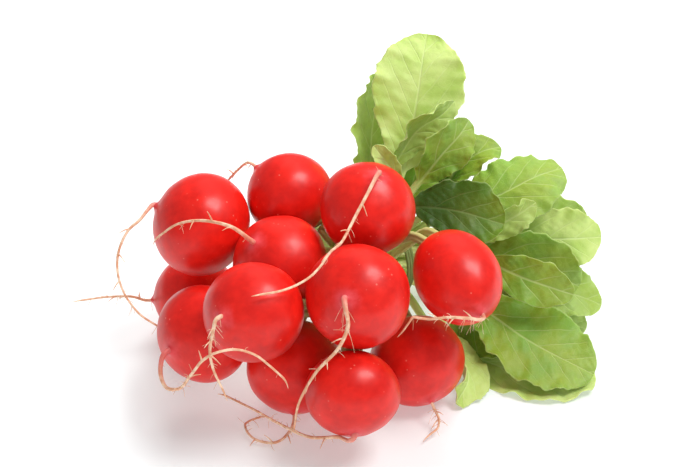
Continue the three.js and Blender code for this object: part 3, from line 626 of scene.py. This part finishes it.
# a grid is rolled up into a tube through the given rings, and its ends are filled
def loft(bm, rings, **values):
    along, around = len(rings) - 1, rings.shape[1]
    made = bmesh.ops.create_grid(bm, x_segments=around, y_segments=along, size=0.5)["verts"]
    flat = np.array([v.co for v in made])
    column = np.rint((flat[:, 0] + 0.5) * around).astype(int) % around
    row = np.rint((flat[:, 1] + 0.5) * along).astype(int)
    setVerts(bm, made, rings[row, column], {key: np.broadcast_to(value, rings.shape[:2])[row, column]
                                            for key, value in values.items()})
    sides = [v for v, c in zip(made, flat) if abs(c[0]) > 0.5 - 1e-6]
    bmesh.ops.remove_doubles(bm, verts=sides, dist=1e-7)
    left = [vert for vert in made if vert.is_valid]
    ends = list(dict.fromkeys(edge for vert in left for edge in vert.link_edges if edge.is_boundary))
    bmesh.ops.holes_fill(bm, edges=ends, sides=0)


# moves verts to places in millimetres, and gives each its values for the materials
def setVerts(bm, verts, places, values):
    for vert, (x, y, z) in zip(verts, toWorld(places)):
        vert.co = x, y, max(z, 0)
    for key, numbers in values.items():
        layer = bm.verts.layers.float[key]
        for vert, number in zip(verts, numbers):
            vert[layer] = number


def newPiece(name, node, material, bm):
    bmesh.ops.recalc_face_normals(bm, faces=bm.faces)
    for face in bm.faces:
        face.smooth = True
    mesh = bpy.data.meshes.new(name)
    bm.to_mesh(mesh)
    bm.free()
    mesh.materials.append(material)
    piece = bpy.data.objects.new(name, mesh)
    bpy.context.scene.collection.objects.link(piece)
    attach(piece, "root")
    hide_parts(node)


# rings round a bent path, without twist
def tube(path, radii, sides):
    ways = tangents(path)
    side = unit(np.cross(ways[0], toViewer if abs(ways[0][2]) < 0.9 else up))
    rings = []
    for point, way, radius in zip(path, ways, radii):
        side = unit(side - way * (side @ way))
        turn = np.arange(sides) * 2 * math.pi / sides
        circle = np.outer(np.cos(turn), side) + np.outer(np.sin(turn), np.cross(way, side))
        rings.append(point + radius * circle)
    return np.array(rings)


# radishes
radishShape = {"around": 88, "rings": 64, "lump": 0.3, "rootSteps": 13, "rootTip": 0.32, "flare": 0.8,
               "parts": 5, "sides": 12, "whisker": 4, "skinToRoot": 0.9, "hairs": 12,
               "hairLong": (1.0, 3.6), "hairThick": 0.09, "hairTip": 0.05, "hairRings": 8,
               "spurSteps": [4, 6, 8], "spurLength": 4, "spurThick": 0.3, "spurTip": 0.08,
               "spurRings": 7, "spurTurn": 2.4, "whiskerRings": 9, "tipOut": 1.1, "crownIn": 0.45}
# tufts of longer hairs: first and last step of the tap root, how many, and how long
tufts = {"05": (2, 8, 9, 4.5), "06": (1.5, 4, 8, 7), "07": (1, 5, 10, 4), "09": (7, 10, 8, 4),
         "10": (1, 4, 6, 4)}


def rootPath(bulb):
    end = bulb["at"] + bulb["axis"] * bulb["length"] / 2
    points = [end - bulb["axis"] * 3.5, end + bulb["axis"] * 2.5, *bulb["root"]]
    path = stations(points, radishShape["rootSteps"])
    number = list(plants).index(bulb["name"])
    own = np.array([number, number] + [-1] * (len(path) - 4))
    path[2:] = clearOfBulbs(path[2:], bulb["thick"], radishShape["skinToRoot"], own)
    return path


def addBulb(bm, bulb):
    made = bmesh.ops.create_uvsphere(bm, u_segments=radishShape["around"],
                                     v_segments=radishShape["rings"], radius=1)["verts"]
    ball = np.array([v.co for v in made], float)
    ring, high = np.hypot(ball[:, 0], ball[:, 1]), ball[:, 2]
    fuller = np.where(high > 0, ring ** 0.9, ring ** 1.08)
    swell = np.where(ring > 1e-6, fuller / np.maximum(ring, 1e-6), 1) * bulb["girth"] / 2
    side = unit(np.cross(bulb["axis"], up))
    other = np.cross(bulb["axis"], side)
    seed = Vector((int(bulb["name"]) * 7.3, 0, 0))
    lump = np.array([noise.noise(Vector(b) * 1.3 + seed) + 0.35 * noise.noise(Vector(b) * 4 + seed)
                     for b in ball])
    rise = lump * radishShape["lump"] * (1 - np.exp(-(ring / 0.3) ** 2))
    drawn = np.where(high < 0, radishShape["tipOut"], -radishShape["crownIn"])
    long = -high * bulb["length"] / 2 + drawn * np.exp(-(ring / 0.1) ** 2)
    places = bulb["at"] + long[:, None] * bulb["axis"] + \
        (swell * ball[:, 0])[:, None] * side + (swell * ball[:, 1])[:, None] * other
    places += unit(places - bulb["at"]) * rise[:, None]
    places += np.maximum(lay["table"] - places @ up, 0)[:, None] * up
    setVerts(bm, made, places, {"rootward": (1 - high) / 2})


def addRoot(bm, bulb, rng):
    coarse = rootPath(bulb)
    steps, parts = radishShape["rootSteps"], radishShape["parts"]
    at = np.linspace(0, steps, steps * parts + 1)
    far = at / steps
    path = between(coarse, at)
    radii = bulb["thick"] + radishShape["flare"] * np.exp(-((far * 12) ** 1.2)) + \
        (radishShape["rootTip"] - bulb["thick"]) * far ** 0.8
    # knobs and a thin whisker at the end
    knobs = np.array([noise.noise(Vector((f * 22, int(bulb["name"]), 0))) for f in far])
    radii = radii * (1 + 0.1 * knobs)
    last = unit(path[-1] - path[-4])
    bend = unit(np.cross(last, toViewer)) * rng.uniform(-1, 1) - up * 0.4
    whisker = np.linspace(0, 1, radishShape["whiskerRings"])[1:, None]
    drift = last * whisker + bend * 0.3 * whisker ** 2
    ends = clearOfBulbs(path[-1] + radishShape["whisker"] * drift, 0.3, 0.3)
    path = np.concatenate([path, ends])
    radii = np.concatenate([radii, radii[-1] * (1 - whisker[:, 0]) ** 0.8 + 0.05])
    far = np.concatenate([far, np.linspace(1, 1.15, radishShape["whiskerRings"])[1:]])
    loft(bm, tube(path, radii, radishShape["sides"]), rootward=(1.0 + far)[:, None])
    ways = tangents(coarse)
    spurRings, hairRings = radishShape["spurRings"], radishShape["hairRings"]
    for n, k in enumerate(radishShape["spurSteps"]):
        turn = n * radishShape["spurTurn"] + int(bulb["name"])
        side = turned(unit(np.cross(ways[k], toViewer)), ways[k], turn)
        grown = unit(side + ways[k] * 0.8)
        if grown[2] < -0.2:
            grown[2] = -grown[2]
        spur = coarse[k] + grown * np.linspace(0, radishShape["spurLength"], spurRings)[:, None]
        if np.allclose(clearOfBulbs(spur[3:], 0.5, 0.4), spur[3:], atol=1e-6):
            spur += up * 0.25 * np.sin(np.linspace(0, 4, spurRings))[:, None]
            radii = np.linspace(radishShape["spurThick"], radishShape["spurTip"], spurRings)
            loft(bm, tube(spur, radii, 6), rootward=1.5 + n * 0.1)
    low, high, count, long = tufts.get(bulb["name"], (0, 0, 0, 0))
    for n in range(radishShape["hairs"] + count):
        inTuft = n < count
        k = rng.uniform(low, high) if inTuft else rng.uniform(0.09, 0.98) * steps
        start = between(coarse, np.array([k]))[0]
        way = ways[int(k)]
        side = turned(unit(np.cross(way, toViewer)), way, rng.uniform(0, 2 * math.pi))
        grown = unit(side + way * rng.uniform(-0.1, 0.9))
        t = np.linspace(0, 1, hairRings)[:, None]
        reachOut = rng.uniform(0.4, 1) * long if inTuft else rng.uniform(*radishShape["hairLong"])
        bend = way * rng.uniform(-0.3, 0.3) - up * rng.uniform(0.1, 0.5)
        hair = start + (grown * t + bend * t ** 2) * reachOut
        hair[2:] = clearOfBulbs(hair[2:], 0.15, 0.1)
        thick = radishShape["hairThick"] * rng.uniform(0.7, 1.2)
        loft(bm, tube(hair, np.linspace(thick, radishShape["hairTip"], hairRings), 4), rootward=1.6)


skinShade = skinMaterial()
for key, plant in plants.items():
    bm = startMesh("rootward")
    rng = np.random.default_rng(40 + int(key))
    addBulb(bm, plant)
    addRoot(bm, plant, rng)
    newPiece("radish" + key, "radish_" + key, skinShade, bm)
print("radishes made")

# leaves
leafShape = {"stalkParts": 3, "bladeParts": 9, "across": 28, "thick": 0.44, "edgeThick": 0.22,
             "keel": 0.9, "quilt": 0.28, "veinDepth": 0.22, "ruffle": 0.8, "tooth": 0.5, "toothPitch": 6,
             "tipWidth": 0.3}
collarShape = {"foot": 3.3, "top": 2.4, "high": 2.2, "gap": 0.4, "around": 32}
# how dark each leaf is: 0 fresh green, 1 olive, 2 deep green; this is partly each leaf's own green and
# partly painted shade, and values past 1 are painted shade for leaves that lie in shade
leafTonesAndShade = [0.6, 0.6, 0.6, 0.7, 0.9, 0.55, 0.55, 0.65, 1.5, 0.65, 0.1, 0.0, 0.0, 0.85, 0.9, 0.5, 1.0,
             0.95, 1.4, 0.95, 0.55, 1.9, 0.35, 0.0, 0.95]


def addLeaf(bm, leaf, grid, order):
    rng = np.random.default_rng(order)
    rib = grid[:, 2]
    units = (grid[:-1] - rib[:-1, None]) / halfWidth(leaf, np.arange(rows - 1))[:, None, None]
    units = np.concatenate([units, units[-1:]])
    at = np.concatenate([np.arange(0, stalkSteps, 1 / leafShape["stalkParts"]),
                         np.arange(stalkSteps, rows - 1, 1 / leafShape["bladeParts"]), [rows - 1]])
    v = np.linspace(0, 4, leafShape["across"] + 1)
    fineRib = between(rib, at)
    ways = unit(np.gradient(fineRib, axis=0))
    fine = between(between(units, at).swapaxes(0, 1), v).swapaxes(0, 1)
    opened = ramp(at, stalkSteps - 1.5, stalkSteps + 1.5)[:, None]
    share = np.maximum(0, (at - stalkSteps) / bladeSteps)[:, None]
    angle = (v - 2) * math.pi / 4
    rounder = np.where(abs(angle) > 1e-6, np.sin(angle) / np.sin(angle * 0.8 + 1e-12), 1.25)
    fine = fine * (1 + (rounder - 1) * (1 - opened))[..., None]
    normal = unit(np.cross(np.gradient(fine, axis=1), ways[:, None]))
    half = np.maximum(halfWidth(leaf, at), leafShape["tipWidth"])[:, None]
    arc = np.concatenate([[0], np.cumsum(np.linalg.norm(np.diff(fineRib, axis=0), axis=1))])
    arc = (arc - arc[stalkSteps * leafShape["stalkParts"]])[:, None]
    x = np.linspace(-1, 1, len(v))
    # small teeth along the edge that point to the tip, different on each side
    turn = rng.uniform(0, 6, 4)
    start = np.where(x < 0, turn[0], turn[2])
    beat = arc / leafShape["toothPitch"] + start + 0.25 * np.sin(arc * 0.5 + turn[1])
    teeth = (ramp(beat % 1, 0.35, 0.8) - ramp(beat % 1, 0.8, 1.0)) + 0.2 * np.sin(arc * 2.6 + turn[3])
    teeth = teeth * leafShape["tooth"] * (0.1 if leaf.get("whole") else 1) * ramp(half, 1, 5) * opened
    wide = half + teeth * np.abs(x) ** 3
    sheet = fineRib[:, None] + fine * wide[..., None]
    lateral = np.linalg.norm(fine, axis=2) * wide * np.sign(x)
    aside = np.abs(lateral)
    # lateral veins lie in grooves, the leaf swells between them, and its edge is ruffled
    phase = (arc - aside * veins["lean"] - aside ** 2 * veins["bend"]) / veins["pitch"]
    phase = phase + 0.5 * (lateral > 0)
    apart = (0.5 - np.abs(phase % 1 - 0.5)) * veins["pitch"] * 0.78
    groove = np.maximum(np.exp(-(apart / 0.7) ** 2), np.exp(-(aside / 0.9) ** 2))
    swell = np.sin(arc * 1.7 + aside + turn[0]) * np.sin(aside * 1.5 + turn[1]) * 0.6 + \
        np.sin(arc * 0.8 - aside * 0.7 + turn[2]) * 0.7
    fade = opened * ramp(half, 1, 4)
    relief = (swell * leafShape["quilt"] * ramp(apart, 0.2, 1.8) * ramp(aside, 0.3, 2.5)
              - groove * leafShape["veinDepth"]) * fade
    ruffle = (np.sin(arc * 0.62 + turn[3]) + 0.5 * np.sin(arc * 1.25 + turn[1] + x)) * np.abs(x) ** 3
    relief = relief + ruffle * leafShape["ruffle"] * fade * ramp(share, 0.02, 0.3)
    sheet = sheet + normal * relief[..., None]
    stem = stalkSize(at)[:, None] * np.cos(angle)
    thin = leafShape["edgeThick"] + (leafShape["thick"] - leafShape["edgeThick"]) * (1 - np.abs(x) ** 4)
    upper = stem * (1 - 0.25 * np.exp(-(angle / 0.4) ** 2)) * (1 - opened) + thin / 2 * opened
    keel = leafShape["keel"] * opened * (1 - share) * np.exp(-(aside / 0.85) ** 2)
    lower = stem * (1 - opened) + thin / 2 * opened + keel
    upper, lower = np.maximum(upper, 0.06), np.maximum(lower, 0.06)
    top, bottom = sheet + normal * upper[..., None], sheet - normal * lower[..., None]
    rings = np.concatenate([top, bottom[:, ::-1]], axis=1)

    def both(value):
        value = np.broadcast_to(value, sheet.shape[:2])
        return np.concatenate([value, value[:, ::-1]], axis=1)

    below = np.concatenate([np.zeros_like(lateral), np.ones_like(lateral)], axis=1)
    # the tone grows towards each leaf's foot, so the blade is darker near the stalks: painted shade
    loft(bm, rings, arc=both(arc), lateral=both(lateral), blade=both(opened), share=both(share),
         stem=both((at / stalkSteps)[:, None]), edge=both(np.abs(x)), under=below,
         tone=both(leafTonesAndShade[order] * (1.15 - 0.45 * share)))


def addCollar(bm, bulb):
    made = bmesh.ops.create_cone(bm, cap_ends=True, segments=collarShape["around"],
                                 radius1=collarShape["foot"], radius2=collarShape["top"],
                                 depth=collarShape["high"])["verts"]
    edges = dict.fromkeys(edge for vert in made for edge in vert.link_edges)
    rims = [edge for edge in edges if abs(edge.verts[0].co.z - edge.verts[1].co.z) < 1e-6]
    made += bmesh.ops.bevel(bm, geom=rims, offset=0.5, affect="EDGES", segments=3, profile=0.5,
                            material=-1)["verts"]
    made = list(dict.fromkeys(vert for vert in made if vert.is_valid))
    away = -bulb["axis"]
    side = unit(np.cross(away, up))
    local = np.array([v.co for v in made])
    middle = crownOf(bulb) + away * (collarShape["gap"] + collarShape["high"] / 2)
    places = middle + local @ np.array([side, np.cross(away, side), away])
    setVerts(bm, made, places, {"stem": np.zeros(len(made)), "tone": np.full(len(made), 0.2)})


leafShade = leafMaterial()
for key, plant in plants.items():
    bm = startMesh("arc", "lateral", "blade", "share", "stem", "edge", "under", "tone")
    addCollar(bm, plant)
    for order, leaf in enumerate(leaves):
        if leaf["plant"] == key:
            addLeaf(bm, leaf, grids[order], order)
    newPiece("leaves" + key, "leaves_" + key, leafShade, bm)
print("leaves made")

# a thin rubber band, three turns round the stalks
bandShape = {"wide": 3.4, "thick": 1.1, "turns": 3, "around": 96, "section": 14, "bundle": 15,
             "skinToStalk": 0.5}


def bandRadius():
    reachOut = 0
    for grid in grids:
        for k in range(stalkSteps + 1):
            for part in (0, 0.25, 0.5, 0.75):
                spot = (1 - part) * grid[k, 2] + part * grid[k + 1, 2] - neckAt
                along = spot @ neckAlong
                out = np.linalg.norm(spot - along * neckAlong)
                if abs(along) < bandShape["wide"] / 2 + 1 and out < bandShape["bundle"]:
                    reachOut = max(reachOut, out + stalkSize(k) + bandShape["skinToStalk"])
    return reachOut


bm = bmesh.new()
turnWide = bandShape["wide"] / bandShape["turns"]
middleRadius = bandRadius() + bandShape["thick"] / 2
for turn in range(bandShape["turns"]):
    made = bmesh.ops.create_circle(bm, cap_ends=False, segments=bandShape["section"], radius=1)["verts"]
    for vert in made:
        out = vert.co.x * bandShape["thick"] / 2 + middleRadius
        vert.co = (out / 1000, 0, (vert.co.y * turnWide * 0.52 + (turn - 1) * turnWide) / 1000)
    edges = list(dict.fromkeys(edge for vert in made for edge in vert.link_edges))
    bmesh.ops.spin(bm, geom=made + edges, cent=(0, 0, 0), axis=(0, 0, 1), angle=2 * math.pi,
                   steps=bandShape["around"], use_merge=True)
aim = Vector((0, 0, 1)).rotation_difference(Vector(turnDown @ neckAlong)).to_matrix().to_4x4()
bmesh.ops.transform(bm, matrix=Matrix.Translation(Vector(toWorld(neckAt))) @ aim, verts=bm.verts)
newPiece("stalkBand", "stalk_band", bandMaterial(), bm)
print("band made")

# floor, lights and camera
studio = {"floor": 3.0, "paper": "d2d8d8", "glow": 0.32, "distance": 0.521, "lens": 85, "sensor": 36,
          "sky": 0.28}
lights = [
    dict(name="key", way=(0.45, -0.1, 0.88), far=1.0, size=0.42, power=7, gleam=True),
    dict(name="back", way=(0.05, 0.7, 0.7), far=1.2, size=0.7, power=14, gleam=False),
    dict(name="front", way=(-0.1, -0.95, 0.25), far=1.4, size=1.0, power=7, gleam=False),
]
bm = bmesh.new()
bmesh.ops.create_grid(bm, x_segments=1, y_segments=1, size=studio["floor"] / 2)
floorMesh = bpy.data.meshes.new("floor")
bm.to_mesh(floorMesh)
bm.free()
floor = bpy.data.objects.new("floor", floorMesh)
bpy.context.scene.collection.objects.link(floor)
board = Board("paperFloor")
shader = board.node("BsdfPrincipled", None, Base_Color=colour(studio["paper"]), Roughness=0.9,
                    Emission_Color=colour("ffffff"), Emission_Strength=studio["glow"])
board.node("OutputMaterial", None, shader)
floorMesh.materials.append(board.material)

for light in lights:
    lamp = bpy.data.lights.new(light["name"], "AREA")
    lamp.energy = light["power"]
    lamp.size = light["size"]
    holder = bpy.data.objects.new(light["name"], lamp)
    way = Vector(light["way"]).normalized()
    holder.location = way * light["far"]
    holder.visible_glossy = light["gleam"]
    holder.rotation_euler = way.to_track_quat("Z", "Y").to_euler()
    bpy.context.scene.collection.objects.link(holder)

world = bpy.data.worlds.new("studio")
world.use_nodes = True
world.node_tree.nodes["Background"].inputs[0].default_value = (1, 1, 1, 1)
world.node_tree.nodes["Background"].inputs[1].default_value = studio["sky"]
bpy.context.scene.world = world
bpy.context.scene.view_settings.view_transform = "Standard"

lens = bpy.data.cameras.new("photographer")
lens.lens = studio["lens"]
lens.sensor_width = studio["sensor"]
viewer = bpy.data.objects.new("photographer", lens)
viewer.location = Vector(shift) + Vector((0, -math.cos(down), math.sin(down))) * studio["distance"]
viewer.rotation_euler = (math.pi / 2 - down, 0, 0)
bpy.context.scene.collection.objects.link(viewer)
bpy.context.scene.camera = viewer

saveSize()
